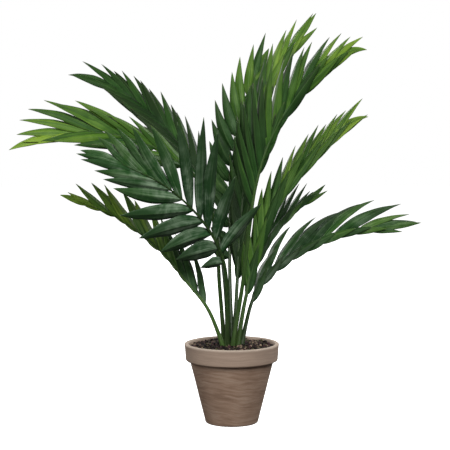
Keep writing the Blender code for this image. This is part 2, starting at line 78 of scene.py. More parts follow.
# Guide points run from the crown to the rachis's tip. face is the way the upper side looks, bare is
# the share of the line with no leaflets, and tip is the end leaflet's length and droop. The fresh
# value runs from 0 for deep blue green to 1 for yellow green: part the frond's own green, part
# painted light, with lit fronds and fronds that glow with light shining through painted brighter
# and yellower and shaded fronds darker. The waxy value is how much blue green cast and painted
# sheen the leaflets carry and how much less painted shade they get near the rachis, and jitter
# how far chance changes them.
FRONDS = (
    dict(name="far_left", bare=0.56, jitter=0.6, fresh_and_lit=0.57, blue_and_sheen=0.10, tip=(0.070, 0.22),
         guides=((-0.0105, 0.000, 0.1135), (-0.0175, -0.006, 0.20), (-0.023, -0.020, 0.28),
                 (-0.046, -0.040, 0.35), (-0.100, -0.068, 0.395), (-0.170, -0.100, 0.418),
                 (-0.235, -0.130, 0.416)),
         face=((1.0, -0.6, 0.3), (0.4, -1.0, 0.6), (0.1, -1.0, 0.8)),
         right=row((0.085, 0.105, 0.118, 0.116, 0.098, 0.062), (6, 9, 16, 22, 25, 16),
                   (0.014, 0.018, 0.014), 20, (0.08, 0.12, 0.16), tilt=22, count=10),
         left=row((0.08, 0.105, 0.098, 0.06), (34, 33, 19, 4), (0.015, 0.016, 0.012), 20,
                  (0.02, 0.06, 0.06), tilt=22, count=8)),
    dict(name="upper_left", bare=0.50, jitter=0.6, fresh_and_lit=0.04, blue_and_sheen=0.04, tip=(0.085, 0.26),
         guides=((-0.005, 0.0055, 0.1135), (-0.010, 0.025, 0.20), (-0.022, 0.045, 0.28),
                 (-0.051, 0.085, 0.355), (-0.094, 0.130, 0.415), (-0.147, 0.170, 0.463),
                 (-0.187, 0.186, 0.487)),
         face=((1.0, -0.6, 0.3), (0.4, -1.0, 0.6), (0.2, -1.0, 0.8)),
         right=row((0.072, 0.082, 0.080, 0.064), (22, 21, 23, 17), (0.016, 0.020, 0.014), 15,
                   (0.10, 0.12, 0.20), (0.45,), count=12),
         left=row((0.085, 0.09, 0.09, 0.07), (30, 25, 20, 12), (0.014, 0.017, 0.012), 15,
                  (0.06, 0.03, 0.08))),
    dict(name="front_left", bare=0.31, jitter=0.3, fresh_and_lit=0.14, blue_and_sheen=1.0, tip=(0.072, 0.12),
         guides=((-0.0065, -0.010, 0.1135), (-0.007, -0.022, 0.18), (-0.0125, -0.042, 0.240),
                 (-0.040, -0.075, 0.296), (-0.088, -0.118, 0.346), (-0.147, -0.166, 0.380)),
         face=((0.3, -1.0, 0.2), (0.0, -1.0, 0.2), (-0.1, -1.0, 0.3)),
         right=row((0.097, 0.105, 0.163, 0.158, 0.133, 0.124, 0.114, 0.105, 0.092, 0.060),
                   (53, 38, 31, 37, 28, 19, 17, 20, 19, 15), (0.021, 0.019, 0.017, 0.013), 8,
                   (0.02,), (0.0,), 10, start=0.385),
         left=row((0.010, 0.064, 0.072, 0.092, 0.110, 0.116, 0.112, 0.108, 0.102, 0.088),
                  (84, 74, 72, 60, 47, 29, 23, 16, 9, 8),
                  (0.013, 0.033, 0.030, 0.023, 0.018, 0.014, 0.012), 8, (0.0,), (0.0,), 10,
                  count=10)),
    dict(name="low_left", bare=0.22, jitter=0.5, fresh_and_lit=0.58, blue_and_sheen=0.30, tip=(0.045, 0.10),
         guides=((-0.0125, -0.009, 0.1135), (-0.034, -0.013, 0.166), (-0.064, -0.015, 0.205),
                 (-0.103, -0.020, 0.252), (-0.157, -0.030, 0.295), (-0.203, -0.040, 0.318)),
         face=((1.0, -0.6, 0.3), (0.6, -0.8, 0.3), (0.3, -1.0, 0.4)),
         right=row((0.046, 0.062, 0.072, 0.078, 0.080, 0.075, 0.045),
                   (58, 34, 25, 23, 20, 11, 6), (0.020, 0.021, 0.019, 0.015, 0.010), 10, (0.0,),
                   (1.2, 0.5, 0.2, 0.0, 0.0, 0.0, 0.0), 20, count=11),
         left=row((0.05, 0.07, 0.065, 0.040), (18, 22, 14, 6), (0.013, 0.014, 0.009), -125,
                  tilt=20, count=8)),
    dict(name="centre_back", bare=0.27, jitter=0.5, fresh_and_lit=0.34, blue_and_sheen=0.20, tip=(0.050, 0.0),
         guides=((0.001, 0.010, 0.1135), (-0.002, 0.030, 0.18), (-0.003, 0.060, 0.26),
                 (-0.001, 0.090, 0.34), (0.007, 0.115, 0.41), (0.022, 0.140, 0.465),
                 (0.040, 0.160, 0.505)),
         face=((0.2, -1.0, 0.2), (0.2, -1.0, 0.4)),
         right=row((0.06, 0.075, 0.075, 0.05), (35, 28, 20, 15), (0.014, 0.017, 0.013), 25,
                   start=0.38),
         left=row((0.028, 0.034, 0.043, 0.050, 0.052, 0.050, 0.048), (82, 68, 61, 56, 47, 36, 18),
                  (0.016, 0.019, 0.013), 15, (0.0,), (0.1, 0.65, 0.75), count=13)),
    dict(name="tall_front", bare=0.44, jitter=0.6, fresh_and_lit=0.36, blue_and_sheen=0.05, tip=(0.072, 0.42),
         guides=((0.0015, -0.0085, 0.1135), (0.015, -0.018, 0.20), (0.023, -0.028, 0.27),
                 (0.034, -0.036, 0.345), (0.056, -0.044, 0.413), (0.091, -0.055, 0.470),
                 (0.136, -0.067, 0.515)),
         face=((-0.5, -1.0, 0.1), (-0.3, -1.0, 0.4)),
         right=row((0.080, 0.09, 0.085, 0.055), (0, 3, 8, 13), (0.015, 0.018, 0.012), 27,
                   (0.0, 0.02, 0.08), count=9, start=0.57),
         left=row((0.072, 0.080, 0.077, 0.070, 0.054), (36, 30, 26, 25, 17),
                  (0.016, 0.020, 0.013), 15, (0.0, 0.09, 0.36), (0.60,), count=14)),
    dict(name="tall_back", bare=0.20, jitter=0.5, fresh_and_lit=0.38, blue_and_sheen=0.05, tip=(0.074, 0.0),
         guides=((0.0035, 0.003, 0.1135), (0.008, 0.030, 0.20), (0.014, 0.058, 0.29),
                 (0.023, 0.082, 0.375), (0.040, 0.107, 0.45), (0.064, 0.130, 0.509),
                 (0.091, 0.150, 0.546)),
         face=((-0.5, -1.0, 0.1), (-0.3, -1.0, 0.4)),
         right=row((0.06, 0.08, 0.10, 0.09, 0.065), (14, 16, 15, 15, 24), (0.016, 0.018, 0.012),
                   20, count=12),
         left=row((0.050, 0.066, 0.066, 0.062, 0.056), (18, 21, 17, 10, 7), (0.016, 0.019, 0.012),
                  15, (0.0, 0.02, 0.05), (0.50,), count=14)),
    dict(name="mid_right", bare=0.20, jitter=0.5, fresh_and_lit=0.58, blue_and_sheen=0.15, tip=(0.066, 0.34),
         guides=((0.0085, -0.0035, 0.1135), (0.020, 0.004, 0.18), (0.032, 0.012, 0.235),
                 (0.051, 0.020, 0.290), (0.078, 0.030, 0.335), (0.116, 0.045, 0.380),
                 (0.158, 0.062, 0.420)),
         face=((-0.5, -1.0, 0.3), (-0.3, -1.0, 0.6)),
         right=row((0.06, 0.085, 0.09, 0.085, 0.058), (8, 9, 9, 9, 12), (0.016, 0.017, 0.012), 34,
                   (0.0, 0.05, 0.16), (0.3,), count=10),
         left=row((0.040, 0.054, 0.063, 0.064, 0.052), (28, 19, 18, 20, 19), (0.017, 0.020, 0.013),
                  15, (0.0, 0.06, 0.26), (0.65,), count=14)),
    dict(name="short_right", bare=0.42, jitter=0.5, fresh_and_lit=0.26, blue_and_sheen=0.45, tip=(0.050, -0.05),
         guides=((0.009, 0.0045, 0.1135), (0.018, 0.028, 0.165), (0.032, 0.055, 0.215),
                 (0.055, 0.093, 0.258), (0.088, 0.132, 0.292), (0.117, 0.163, 0.311)),
         face=((-0.5, -1.0, 0.3), (-0.3, -1.0, 0.6)),
         right=row((0.06, 0.07, 0.06, 0.05), (10, 8, 10, 12), (0.011, 0.012, 0.009), 20, count=8),
         left=row((0.06, 0.085, 0.105, 0.060, 0.035), (14, 8, 6, 4, 4), (0.011, 0.012, 0.009),
                  15, count=8)),
    dict(name="low_right", bare=0.19, jitter=0.4, fresh_and_lit=0.20, blue_and_sheen=0.35, tip=(0.082, 0.0),
         guides=((0.014, -0.001, 0.1135), (0.026, 0.008, 0.164), (0.036, 0.015, 0.187),
                 (0.056, 0.030, 0.212), (0.088, 0.050, 0.235), (0.135, 0.080, 0.257),
                 (0.180, 0.105, 0.268), (0.225, 0.130, 0.271)),
         face=((-0.5, -1.0, 0.3), (-0.3, -1.0, 0.5), (-0.1, -1.0, 0.5)),
         right=row((0.05, 0.06, 0.06, 0.055), (6, 5, 10, 18), (0.012, 0.015, 0.011), 30,
                   (0.0, 0.0, 0.05), count=9),
         left=row((0.080, 0.128, 0.146, 0.138, 0.124, 0.100, 0.072), (14, 21, 27, 30, 28, 24, 16),
                  (0.016, 0.016, 0.011), 8, (0.36, 0.36, 0.20), (0.26,), count=11)),
)

# Shares of a frond's line: the last pair of leaflets, the end leaflet and half the stretch that a
# direction is read over.
LAST_PAIR = 0.96
END_LEAFLET = 0.99
HEADING_REACH = 0.02
LINE_POINTS = 41
# Each frond has its own stretch of seeds, half of it for each row of leaflets.
SEEDS_PER_FROND = 50
SEEDS_PER_ROW = 25


# ---- lines and frames ----
def unit(vector):
    return vector / np.linalg.norm(vector)


def smooth_line(guides, count=LINE_POINTS, steps=16):
    """Evenly spaced points on a Catmull-Rom curve through the guide points."""
    known = np.array(guides)
    known = np.vstack([2 * known[0] - known[1], known, 2 * known[-1] - known[-2]])
    fine = []
    for before, here, there, after in zip(known, known[1:], known[2:], known[3:]):
        for t in np.arange(steps) / steps:
            fine.append(0.5 * (2 * here + (there - before) * t
                               + (2 * before - 5 * here + 4 * there - after) * t * t
                               + (3 * here - before - 3 * there + after) * t ** 3))
    fine = np.array(fine + [known[-2]])
    run = np.concatenate([[0.0], np.cumsum(np.linalg.norm(np.diff(fine, axis=0), axis=1))])
    even = np.linspace(0.0, run[-1], count)
    return np.column_stack([np.interp(even, run, fine[:, axis]) for axis in range(3)])


def knot(values, share):
    """A value between evenly spaced knots, numbers or vectors, at share 0 to 1."""
    values = np.array(values, dtype=float)
    if len(values) == 1:
        return values[0]
    place = min(max(share, 0.0), 1.0) * (len(values) - 1)
    index = min(int(place), len(values) - 2)
    return values[index] + (values[index + 1] - values[index]) * (place - index)


def heading(line, share):
    return unit(knot(line, share + HEADING_REACH) - knot(line, share - HEADING_REACH))


def frame_at(line, share, face):
    """The rachis's direction, the blade's upward normal and its right-hand direction."""
    along = heading(line, share)
    look = knot(face, share)
    normal = unit(look - along * np.dot(look, along))
    return along, normal, np.cross(along, normal)


def wobble(key, channel):
    """A repeatable value from -1 to 1."""
    value = sin(12.9898 * key + 78.233 * channel + 3.1) * 43758.5453
    return 2 * (value - floor(value)) - 1


# ---- pieces ----
def placed(name, data):
    """A new object in the scene."""
    made = bpy.data.objects.new(name, data)
    bpy.context.scene.collection.objects.link(made)
    return made


def meshed(name, bm, finishes):
    """Turn a bmesh into an object with these finishes."""
    mesh = bpy.data.meshes.new(name)
    bm.to_mesh(mesh)
    bm.free()
    for finish in finishes:
        mesh.materials.append(finish)
    return placed(name, mesh)


def finished(name, bm, finishes, slot, *nodes):
    """Turn a bmesh into a piece that rides on the plant and stands for CAD nodes."""
    piece = meshed(name, bm, finishes)
    piece.data.shade_smooth()
    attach(piece, "root")
    if nodes:
        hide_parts(*nodes)
    return piece


def spun(outline, steps):
    """A bmesh turned about Z from a closed outline of (radius, height) points."""
    bm = bmesh.new()
    points = [bm.verts.new((radius, 0.0, height)) for radius, height in outline]
    edges = [bm.edges.new(pair) for pair in zip(points, points[1:])]
    # A section that meets the axis at both ends is left open there.
    if outline[0][0] or outline[-1][0]:
        edges.append(bm.edges.new((points[-1], points[0])))
    bmesh.ops.spin(bm, geom=points + edges, axis=(0, 0, 1), cent=(0, 0, 0), angle=2 * pi,
                   steps=steps, use_merge=True)
    bmesh.ops.remove_doubles(bm, verts=bm.verts[:], dist=1e-6)
    bmesh.ops.recalc_face_normals(bm, faces=bm.faces[:])
    return bm


def arc(centre, radius, first, last, steps=6):
    """Points on a round corner, angles in degrees."""
    angles = [radians(first + (last - first) * step / steps) for step in range(steps + 1)]
    return [(centre[0] + radius * cos(angle), centre[1] + radius * sin(angle)) for angle in angles]


def stretch(start, end, steps):
    """Points between two points, without the ends."""
    shares = [step / steps for step in range(1, steps)]
    return [(start[0] + (end[0] - start[0]) * share, start[1] + (end[1] - start[1]) * share)
            for share in shares]


# ---- shader maths ----
class Value:
    """A number that varies over a surface. Arithmetic on it adds Math nodes."""

    def __init__(self, finish, socket):
        self.finish = finish
        self.socket = socket

    def joined(self, operation, first, second):
        node = self.finish.node("ShaderNodeMath", {"operation": operation}, {0: first, 1: second})
        return Value(self.finish, node.outputs[0])

    def __add__(self, other):
        return self.joined("ADD", self, other)

    def __sub__(self, other):
        return self.joined("SUBTRACT", self, other)

    def __rsub__(self, other):
        return self.joined("SUBTRACT", other, self)

    def __mul__(self, other):
        return self.joined("MULTIPLY", self, other)

    def __abs__(self):
        return self.joined("ABSOLUTE", self, 0.0)

    def __pow__(self, other):
        return self.joined("POWER", self, other)

    __radd__ = __add__
    __rmul__ = __mul__


class Finish:
    """A Principled material and the nodes that vary it."""

    def __init__(self, name, roughness, specular):
        self.material = bpy.data.materials.new(name)
        self.material.use_nodes = True
        self.tree = self.material.node_tree
        self.shader = self.tree.nodes["Principled BSDF"]
        self.shader.inputs["Roughness"].default_value = roughness
        self.shader.inputs["Specular IOR Level"].default_value = specular

    def node(self, kind, settings, inputs):
        """A node of a kind, its settings made first and then its sockets fed."""
        made = self.tree.nodes.new(kind)
        for key, value in settings.items():
            if key == "stops":
                ramp = made.color_ramp.elements
                for place, colour in value[2:]:
                    ramp.new(place)
                for element, (place, colour) in zip(ramp, sorted(value)):
                    element.position = place
                    element.color = (*colour, 1.0)
            else:
                setattr(made, key, value)
        for key, value in inputs.items():
            self.feed(made.inputs[key], value)
        return made

    def feed(self, socket, value):
        if isinstance(value, Value):
            self.tree.links.new(value.socket, socket)
        elif isinstance(value, bpy.types.NodeSocket):
            self.tree.links.new(value, socket)
        elif socket.type == "RGBA":
            socket.default_value = (*value, 1.0)
        else:
            socket.default_value = value

    def place(self, scale=(1.0, 1.0, 1.0)):
        """Object coordinates, stretched."""
        object_place = self.node("ShaderNodeTexCoord", {}, {}).outputs["Object"]
        return self.node("ShaderNodeMapping", {}, {"Vector": object_place, "Scale": scale}).outputs[0]

    def vector(self, x, y, z):
        return self.node("ShaderNodeCombineXYZ", {}, {0: x, 1: y, 2: z}).outputs[0]

    def axes(self, vector):
        """A vector's three parts as values."""
        parts = self.node("ShaderNodeSeparateXYZ", {}, {0: vector}).outputs
        return [Value(self, part) for part in parts]

    def attribute(self, name):
        """The red, green, blue and alpha of a colour attribute as four values."""
        found = self.node("ShaderNodeAttribute", {"attribute_name": name}, {}).outputs
        parts = self.node("ShaderNodeSeparateColor", {}, {0: found["Color"]}).outputs
        return [Value(self, part) for part in (*parts[:3], found["Alpha"])]

    def noise(self, vector, scale, detail=4.0, roughness=0.55, distortion=0.0):
        made = self.node("ShaderNodeTexNoise", {}, {
            "Vector": vector, "Scale": scale, "Detail": detail, "Roughness": roughness,
            "Distortion": distortion})
        return Value(self, made.outputs["Fac"])

    def cells(self, vector, scale):
        made = self.node("ShaderNodeTexVoronoi", {}, {"Vector": vector, "Scale": scale})
        return Value(self, made.outputs["Distance"])

    def ranged(self, value, low, high, to_low=0.0, to_high=1.0):
        """value's stretch from low to high, smoothly made to_low to to_high."""
        made = self.node("ShaderNodeMapRange", {"interpolation_type": "SMOOTHSTEP"}, {
            "Value": value, "From Min": low, "From Max": high, "To Min": to_low, "To Max": to_high})
        return Value(self, made.outputs[0])

    def mixed(self, factor, first, second):
        """first where factor is 0 and second where it is 1, as a colour."""
        made = self.node("ShaderNodeMix", {"data_type": "RGBA"}, {0: factor, 6: first, 7: second})
        return made.outputs[2]

    def ramp(self, value, *stops):
        return self.node("ShaderNodeValToRGB", {"stops": stops}, {0: value}).outputs[0]

    def bump(self, height, distance, strength=1.0, under=None):
        inputs = {"Height": height, "Distance": distance, "Strength": strength}
        if under is not None:
            inputs["Normal"] = under
        return self.node("ShaderNodeBump", {}, inputs).outputs[0]

    def colour(self, value):
        self.feed(self.shader.inputs["Base Color"], value)

    def roughness(self, value):
        self.feed(self.shader.inputs["Roughness"], value)

    def normal(self, value):
        self.feed(self.shader.inputs["Normal"], value)


# ---- finishes ----
def clay_finish(look):
    """Fired clay with faint wavy marbling, a paler rim, a fine grain and painted shade under the rim."""
    clay = Finish("fired_clay", 0.9, specular=0.3)
    place = clay.place()
    east, north, height = clay.axes(place)
    layer = height + clay.noise(place, 16.0, 2.0) * 0.016 + east * 0.07
    streaks = clay.noise(clay.vector(east * 14.0, north * 14.0, layer * 150.0), 1.6, 5.0, 0.62, 0.5)
    veins = clay.noise(clay.vector(east * 20.0, north * 20.0, layer * 420.0), 1.5, 3.0, 0.5, 0.6)
    patches = clay.noise(place, 26.0, 3.0)
    grain = clay.noise(place, 900.0, 3.0, 0.7)
    tone = clay.ramp(clay.ranged(streaks * 0.75 + patches * 0.25, 0.30, 0.70),
                     (0.0, look.clay_dark_and_shade), (0.5, look.clay), (1.0, look.clay_light))
    tone = clay.mixed(clay.ranged(veins, 0.54, 0.66) * 0.35, tone, look.clay_dark_and_shade)
    top = POT_HIGH.z
    band_foot = top - look.rim_depth
    on_rim = clay.ranged(height, band_foot - 0.001, band_foot + 0.003)
    tone = clay.mixed(on_rim * 0.55, tone, look.rim_colour)
    lip = clay.ranged(height + grain * 0.004, top - 0.0015, top + 0.0010)
    tone = clay.mixed(lip * 0.7, tone, look.lip_colour)
    # Painted shade: the body darkens in the crease just under the rim's band, where the band shades it.
    crease = clay.ranged(height, band_foot - 0.0035, band_foot + 0.0005)
    crease = crease * (1.0 - on_rim)
    tone = clay.mixed(crease * 0.55, tone, look.clay_dark_and_shade)
    specks = clay.ranged(clay.noise(place, 1500.0, 2.0), 0.62, 0.72)
    tone = clay.mixed(specks * 0.25, tone, look.lip_colour)
    clay.colour(tone)
    clay.roughness(clay.ranged(patches, 0.3, 0.7, 0.82, 0.96))
    ridges = clay.bump(streaks + veins * 0.5, 0.0006, 0.5)
    clay.normal(clay.bump(grain, 0.00025, 0.6, ridges))
    return clay.material


def crumb_finish(look):
    """Dark crumbs for the soil and the bed under the granules, kept very dark partly as painted shade in
    the gaps between the granules, with painted shade in their hollows.
    """
    crumbs = Finish("crumbs_with_painted_shade", 0.95, specular=0.08)
    place = crumbs.place()
    lumps = crumbs.cells(place, 420.0)
    specks = crumbs.noise(place, 700.0, 4.0, 0.7)
    # Painted shade: the hollows between the crumbs, the low ground of the bumps, take the darkest
    # colour.
    crumbs.colour(crumbs.ramp(lumps * 0.7 + specks * 0.4, (0.0, look.crumb_hollow_shade),
                              (0.6, look.granule_dark), (1.0, look.granule_brown)))
    crumbs.normal(crumbs.bump(lumps + specks * 0.5, 0.0012, 0.9))
    return crumbs.material


def granule_finish(look):
    """Loose granules of brown, mauve and olive, each its own shade."""
    granules = Finish("loose_granules", 0.75, specular=0.12)
    place = granules.place()
    shade, warmth, pale, _ = granules.attribute("tone")
    mottle = granules.noise(place, 800.0, 3.0, 0.6)
    base = granules.ramp(shade ** 2.4 + (mottle - 0.5) * 0.30, (0.0, look.granule_dark),
                         (0.55, look.granule_brown), (1.0, look.granule_pale))
    base = granules.mixed(granules.ranged(warmth, 0.76, 0.90), base, look.granule_mauve)
    base = granules.mixed(granules.ranged(pale, 0.80, 0.92) * 0.8, base, look.granule_olive)
    granules.colour(base)
    granules.roughness(granules.ranged(mottle, 0.3, 0.7, 0.6, 0.9))
    granules.normal(granules.bump(mottle, 0.0005, 0.7))
    return granules.material


def fibre_finish(look):
    """Brown fibre round the foot of the stalks."""
    fibre = Finish("crown_fibre", 0.85, specular=0.25)
    strands = fibre.noise(fibre.place((220.0, 220.0, 30.0)), 4.0, 4.0, 0.65, 0.6)
    fibre.colour(fibre.ramp(strands, (0.3, look.fibre_dark), (0.7, look.fibre_light)))
    fibre.normal(fibre.bump(strands, 0.0008, 0.8))
    return fibre.material


def stalk_finish(look):
    """Green stalk with long streaks, darker and browner towards its foot."""
    stalk = Finish("stalk_skin", 0.45, specular=0.3)
    freshness_and_light, dark, share, _ = stalk.attribute("tone")
    place = stalk.place((260.0, 260.0, 18.0))
    streaks = stalk.noise(place, 2.0, 4.0, 0.6, 0.3)
    flecks = stalk.noise(stalk.place((900.0, 900.0, 220.0)), 1.6, 2.0, 0.6)
    # The frond's green, part its own colour and part painted light, sets the stalk's green.
    green = stalk.ramp(freshness_and_light + (streaks - 0.5) * 0.5, (0.0, look.stalk_deep),
                       (0.55, look.stalk_green), (1.0, look.stalk_pale))
    green = stalk.mixed(stalk.ranged(streaks, 0.52, 0.70) * 0.4, green, look.stalk_pale)
    green = stalk.mixed(dark * 0.80, green, look.stalk_deep)
    foot = stalk.ranged(share, 0.0, 0.16, 1.0, 0.0)
    green = stalk.mixed(foot * stalk.ranged(flecks, 0.45, 0.65, 0.05, 0.55), green, look.stalk_brown)
    stalk.colour(green)
    stalk.roughness(stalk.ranged(streaks, 0.3, 0.7, 0.36, 0.60))
    stalk.normal(stalk.bump(streaks + flecks * 0.4, 0.0003, 0.6))
    return stalk.material


def leaf_finish(look, name, under):
    """Leaf skin with a midrib, long fine ribs, mottling, a soft gloss and a painted sheen, with painted
    shade near the rachis and along the edges. under is its pale side.
    """
    leaf = Finish(name, 0.42, specular=0.07)
    freshness_and_light, chance, share, blue_and_sheen = leaf.attribute("tone")
    place = leaf.place()
    across, along, _ = leaf.axes(leaf.node("ShaderNodeUVMap", {"uv_map": "leaf"}, {}).outputs[0])
    ribs = leaf.noise(leaf.vector(across * 34.0, along * 2.2, chance * 40.0), 1.0, 3.0, 0.55)
    pleats = leaf.noise(leaf.vector(across * 9.0, along * 1.2, chance * 25.0), 1.0, 2.0, 0.5)
    mottle = leaf.noise(place, 34.0, 3.0, 0.6, 0.4)
    flecks = leaf.noise(place, 520.0, 3.0, 0.6)
    # The frond's green is part its own colour and part painted light, brighter on lit fronds, darker on
    # shaded ones.
    tone = freshness_and_light + (chance - 0.5) * 0.48 + (mottle - 0.5) * 0.40 + (ribs - 0.5) * 0.40
    tone = tone + (pleats - 0.5) * 0.70
    green = leaf.ramp(tone, (0.0, look.leaf_deep_and_shade), (0.35, look.leaf_green),
                      (0.65, look.leaf_fresh), (1.0, look.leaf_yellow))
    from_middle = abs(across - 0.5)
    midrib = leaf.ranged(from_middle, 0.012, 0.055, 1.0, 0.0)
    # Painted shade: the leaflet darkens near the rachis, less on waxy fronds.
    shaded = leaf.ranged(along, 0.0, 0.30, 1.0, 0.0) * (1.0 - blue_and_sheen)
    green = leaf.mixed(shaded * 0.45, green, look.leaf_deep_and_shade)
    green = leaf.mixed(midrib * 0.28, green, look.leaf_midrib)
    # Painted shadow: the leaflet's edges darken, as if shadowed.
    edge = leaf.ranged(from_middle, 0.42, 0.5)
    green = leaf.mixed(edge * 0.35, green, look.leaf_deep_and_shade)
    tip = leaf.ranged(along + (flecks - 0.5) * 0.10, 0.93, 1.0)
    green = leaf.mixed(tip * 0.45, green, look.leaf_tip)
    green = leaf.mixed(blue_and_sheen * 0.45, green, look.leaf_blue)
    # Painted sheen: a pale highlight laid on the lower part of the waxy leaflets, fading towards their
    # tips.
    painted_sheen = leaf.ranged(mottle * 0.8 + ribs * 0.35 + pleats * 0.45, 0.70, 1.05)
    painted_sheen = painted_sheen * blue_and_sheen * leaf.ranged(along, 0.25, 0.85, 1.0, 0.15)
    green = leaf.mixed(painted_sheen * look.painted_sheen, green, look.leaf_sheen_colour)
    if under:
        green = leaf.mixed(0.10, green, look.leaf_under)
        green = leaf.mixed(share * 0.15, green, look.leaf_brown)
    leaf.colour(green)
    leaf.roughness(leaf.ranged(ribs + flecks * 0.3, 0.35, 0.95, 0.34, 0.52))
    leaf.normal(leaf.bump(ribs + pleats, 0.0003, 0.5))
    return leaf.material


# ---- the pot ----
POT_STEPS = 144
FOOT_CORNER, BAND_CORNER, LIP_CORNER = 0.0030, 0.0028, 0.0018
DRAIN_EDGE = 0.0006
# The lip is nicked down to WORN_HEIGHT below the top: how deep at most, across and downwards.
WORN_HEIGHT, NICK_ACROSS, NICK_DOWN = 0.0045, 0.0009, 0.0010
WALL_UNEVENNESS = 0.00018


def pot_outline(look):
    """The pot's closed section, from the drainage hole outwards, up the wall, over the lip and down."""
    top = POT_HIGH.z
    rim = POT_HIGH.x
    band_foot = top - look.rim_depth
    band_radius = rim - look.rim_taper
    inner_top = rim - look.wall
    inner_base = look.base_radius - look.wall
    outline = [(look.drain_radius, DRAIN_EDGE), (look.drain_radius + DRAIN_EDGE, 0.0)]
    outline += stretch(outline[-1], (look.base_radius - FOOT_CORNER, 0.0), 8)
    outline += arc((look.base_radius - FOOT_CORNER, FOOT_CORNER), FOOT_CORNER, -90, -14)
    outline += stretch(outline[-1], (look.body_top_radius, band_foot + 0.0005), 30)
    outline += [(look.body_top_radius, band_foot - 0.0004), (look.body_top_radius + 0.0006, band_foot)]
    outline += arc((band_radius - BAND_CORNER, band_foot + BAND_CORNER), BAND_CORNER, -90, 2)
    outline += stretch(outline[-1], (rim, top - LIP_CORNER), 10)
    outline += arc((rim - LIP_CORNER, top - LIP_CORNER), LIP_CORNER, 0, 90)
    outline += stretch(outline[-1], (inner_top + LIP_CORNER, top), 3)
    outline += arc((inner_top + LIP_CORNER, top - LIP_CORNER), LIP_CORNER, 90, 180)
    outline += stretch(outline[-1], (inner_base, look.base_thickness), 12)
    outline += [(inner_base, look.base_thickness)]
    outline += stretch(outline[-1], (look.drain_radius, look.base_thickness), 4)
    outline += [(look.drain_radius, look.base_thickness)]
    return outline


def make_pot(look):
    """The pot, its lip a little chipped and its wall a little uneven."""
    bm = spun(pot_outline(look), POT_STEPS)
    top = POT_HIGH.z
    for vert in bm.verts:
        flat = Vector((vert.co.x, vert.co.y, 0.0))
        outward = flat.normalized()
        if vert.co.z > top - WORN_HEIGHT:
            nick = noise.noise(vert.co * 260.0) + 0.6 * noise.noise(vert.co * 640.0)
            vert.co -= outward * max(0.0, nick - 0.45) * NICK_ACROSS
            vert.co.z -= max(0.0, nick - 0.35) * NICK_DOWN
        elif vert.co.z > 0.001:
            vert.co -= outward * WALL_UNEVENNESS * (1.0 + noise.noise(vert.co * 40.0))
    finished("clay_pot", bm, [clay_finish(look)], "clay", "pot")


# ---- soil, granules and crown ----
# The bed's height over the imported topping, the mound round the crown and how uneven the bed is.
BED_LIFT, MOUND_RISE, MOUND_REACH, BED_UNEVENNESS = 0.0020, 0.0016, 0.026, 0.0007
BED_STEPS, BED_RINGS, BED_TAPER = 120, 50, 0.0028
GRANULE_TRIES = 9000
# Least and greatest size and height over the bed, as shares of the usual radius and of its own.
GRANULE_SIZES, GRANULE_LIFTS = (0.62, 1.20), (0.10, 0.75)
# Two granules may sink into each other down to this share of the sum of their radii.
GRANULE_CLOSENESS = 0.86
CROWN_CLEAR = 0.012
CROWN_STEPS, CROWN_RINGS, CROWN_INSET = 72, 16, 0.0015
CROWN_UNEVENNESS = 0.0009


def bed_height(x, y):
    """The height of the bed under the granules, rising a little towards the crown."""
    away = Vector((x, y, 0.0)).length
    mound = MOUND_RISE * exp(-(away / MOUND_REACH) ** 2)
    rough = BED_UNEVENNESS * noise.noise(Vector((x, y, 0.0)) * 210.0)
    return TOPPING_HIGH.z + BED_LIFT + mound + rough


def make_bed(look):
    """The bed under the granules, a closed disc with an uneven top."""
    outer, low = TOPPING_HIGH.x, TOPPING_LOW.z
    middle, edge = (0.0, TOPPING_HIGH.z), (outer, TOPPING_HIGH.z)
    outline = [middle, *stretch(middle, edge, BED_RINGS), edge, (outer - BED_TAPER, low), (0.0, low)]
    bm = spun(outline, BED_STEPS)
    for vert in bm.verts:
        if vert.co.z > TOPPING_HIGH.z - 0.001:
            vert.co.z = bed_height(vert.co.x, vert.co.y)
    finished("topping_bed", bm, [crumb_finish(look)], "granules", "granule_topping")


def make_granules(look):
    """Loose granules strewn over the bed, right up to the stalks."""
    chance = Random(11)
    reach = TOPPING_HIGH.x - look.granule_radius
    bm = bmesh.new()
    tone = bm.verts.layers.float_color.new("tone")
    placed = []
    for _ in range(GRANULE_TRIES):
        radius = look.granule_radius * chance.uniform(*GRANULE_SIZES)
        angle = chance.uniform(0.0, 2 * pi)
        away = reach * chance.random() ** 0.5
        centre = Vector((away * cos(angle), away * sin(angle), 0.0))
        crowded = any((spot - centre).length < GRANULE_CLOSENESS * (size + radius)
                      for spot, size in placed)
        if crowded or away < CROWN_CLEAR:
            continue
        placed.append((centre, radius))
        lift = radius * chance.uniform(*GRANULE_LIFTS)
        spot = Vector((centre.x, centre.y, bed_height(centre.x, centre.y) + lift))
        turn = (Matrix.Rotation(chance.uniform(0, pi), 4, "Z")
                @ Matrix.Rotation(chance.uniform(0, pi), 4, "X"))
        squash = Matrix.Diagonal((chance.uniform(0.8, 1.15), chance.uniform(0.8, 1.15),
                                  chance.uniform(0.65, 0.95), 1.0))
        made = bmesh.ops.create_icosphere(bm, subdivisions=2, radius=radius,
                                          matrix=Matrix.Translation(spot) @ turn @ squash)
        shade = (chance.random(), chance.random(), chance.random(), 1.0)
        for vert in made["verts"]:
            vert.co += (vert.co - spot) * 0.22 * noise.noise(vert.co * 700.0)
            vert[tone] = shade
    finished("granules", bm, [granule_finish(look)], "granules")


